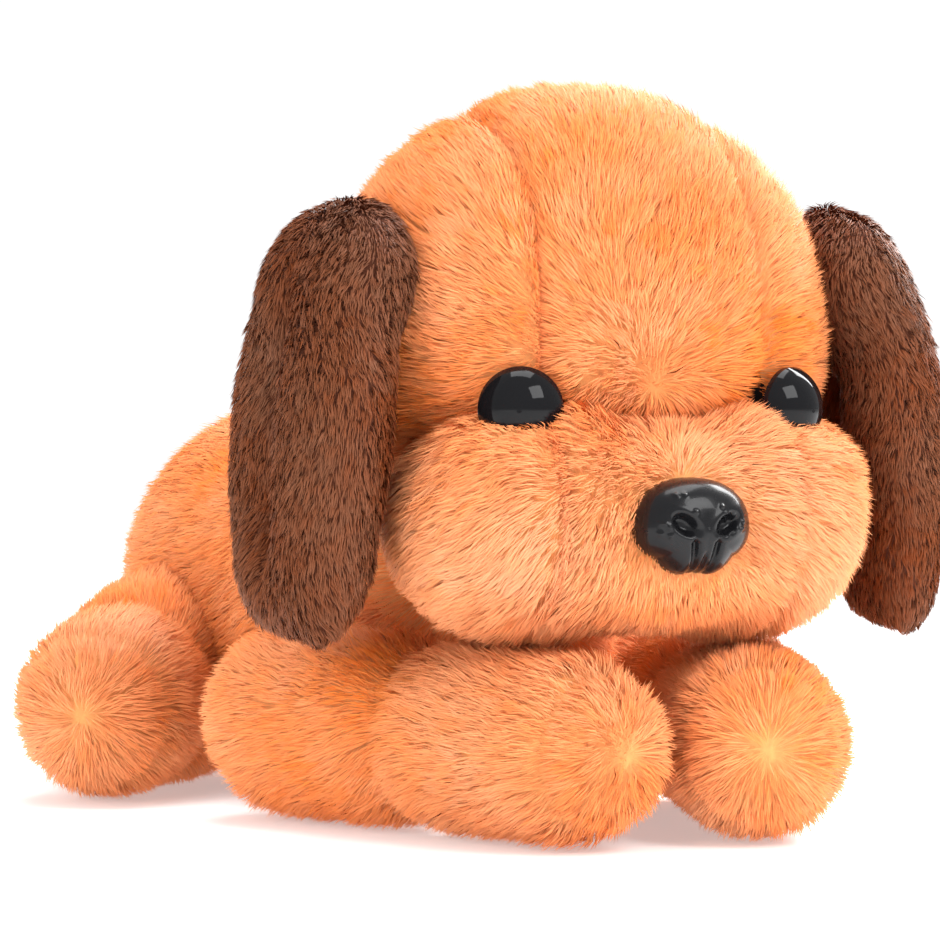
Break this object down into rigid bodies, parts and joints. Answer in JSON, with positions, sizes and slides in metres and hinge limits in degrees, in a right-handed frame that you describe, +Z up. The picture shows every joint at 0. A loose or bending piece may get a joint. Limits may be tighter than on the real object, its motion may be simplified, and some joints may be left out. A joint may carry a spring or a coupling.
{
  "type": "plush dog",
  "caption": "Plush puppy lying on its belly with its head on its front paws, with floppy ears, domed eyes and a moulded nose; head, ears, legs and tail are sewn on and flex.",
  "frame": {"origin": "on the floor under the middle of the lying toy, halfway between the nose tip and the tail tip", "axes": "+Z up, the dog faces -Y, +X is the dog's own left"},
  "size_m": [0.198, 0.3198, 0.165],
  "materials": {
    "plush_orange": "long-pile plush, warm orange with pale tips",
    "plush_brown": "plush, dark brown with lighter tips",
    "stuffing": "white polyester fibre",
    "eye_plastic": "polished black",
    "nose_plastic": "satin-gloss black",
    "washer_plastic": "natural plastic"
  },
  "bodies": {
    "torso": {"back_panel_left": "plush_orange", "back_panel_right": "plush_orange", "belly_panel": "plush_orange", "torso_stuffing": "stuffing"},
    "neck": {"neck_stuffing": "stuffing"},
    "head": {"head_side_left": "plush_orange", "head_side_right": "plush_orange", "forehead_gusset": "plush_orange", "head_stuffing": "stuffing", "muzzle_cheek_left": "plush_orange", "muzzle_cheek_right": "plush_orange", "muzzle_bridge": "plush_orange", "chin_panel": "plush_orange", "muzzle_stuffing": "stuffing", "nose": "nose_plastic", "nose_washer": "washer_plastic", "eye_left": "eye_plastic", "eye_left_washer": "washer_plastic", "eye_right": "eye_plastic", "eye_right_washer": "washer_plastic"},
    "tail": {"tail_cover": "plush_orange", "tail_stuffing": "stuffing"},
    "ear_left": {"ear_left_outer": "plush_brown", "ear_left_inner": "plush_brown"},
    "foreleg_left": {"foreleg_left_outer": "plush_orange", "foreleg_left_inner": "plush_orange", "foreleg_left_sole": "plush_orange", "foreleg_left_stuffing": "stuffing"},
    "hind_leg_left": {"hind_leg_left_outer": "plush_orange", "hind_leg_left_inner": "plush_orange", "hind_leg_left_sole": "plush_orange", "hind_leg_left_stuffing": "stuffing"},
    "ear_right": {"ear_right_outer": "plush_brown", "ear_right_inner": "plush_brown"},
    "foreleg_right": {"foreleg_right_outer": "plush_orange", "foreleg_right_inner": "plush_orange", "foreleg_right_sole": "plush_orange", "foreleg_right_stuffing": "stuffing"},
    "hind_leg_right": {"hind_leg_right_outer": "plush_orange", "hind_leg_right_inner": "plush_orange", "hind_leg_right_sole": "plush_orange", "hind_leg_right_stuffing": "stuffing"}
  },
  "joints": [
    {"name": "head_turn", "type": "hinge", "parent": "torso", "child": "neck", "pos_m": [0, -0.04744, 0.084], "axis": [0, 0, 1], "range_deg": [-15, 15], "stiffness_Nm_per_rad": 0.15},
    {"name": "head_nod", "type": "hinge", "parent": "neck", "child": "head", "pos_m": [0, -0.04744, 0.084], "axis": [-1, 0, 0], "range_deg": [0, 15]},
    {"name": "tail_wag", "type": "hinge", "parent": "torso", "child": "tail", "pos_m": [0, 0.12056, 0.052], "axis": [0, 0, 1], "range_deg": [-25, 25], "stiffness_Nm_per_rad": 0.02},
    {"name": "ear_left_lift", "type": "hinge", "parent": "head", "child": "ear_left", "pos_m": [0.062, -0.10344, 0.132], "axis": [0, -1, 0], "range_deg": [0, 65]},
    {"name": "foreleg_left_spread", "type": "hinge", "parent": "torso", "child": "foreleg_left", "pos_m": [0.05, -0.05344, 0.0229], "axis": [0, 0, 1], "range_deg": [0, 25], "stiffness_Nm_per_rad": 0.1},
    {"name": "hind_leg_left_spread", "type": "hinge", "parent": "torso", "child": "hind_leg_left", "pos_m": [0.044, 0.05256, 0.0274], "axis": [0, 0, 1], "range_deg": [0, 25], "stiffness_Nm_per_rad": 0.1},
    {"name": "ear_right_lift", "type": "hinge", "parent": "head", "child": "ear_right", "pos_m": [-0.062, -0.10344, 0.132], "axis": [0, 1, 0], "range_deg": [0, 65]},
    {"name": "foreleg_right_spread", "type": "hinge", "parent": "torso", "child": "foreleg_right", "pos_m": [-0.05, -0.05344, 0.0229], "axis": [0, 0, -1], "range_deg": [0, 25], "stiffness_Nm_per_rad": 0.1},
    {"name": "hind_leg_right_spread", "type": "hinge", "parent": "torso", "child": "hind_leg_right", "pos_m": [-0.044, 0.05256, 0.0274], "axis": [0, 0, -1], "range_deg": [0, 25], "stiffness_Nm_per_rad": 0.1}
  ]
}
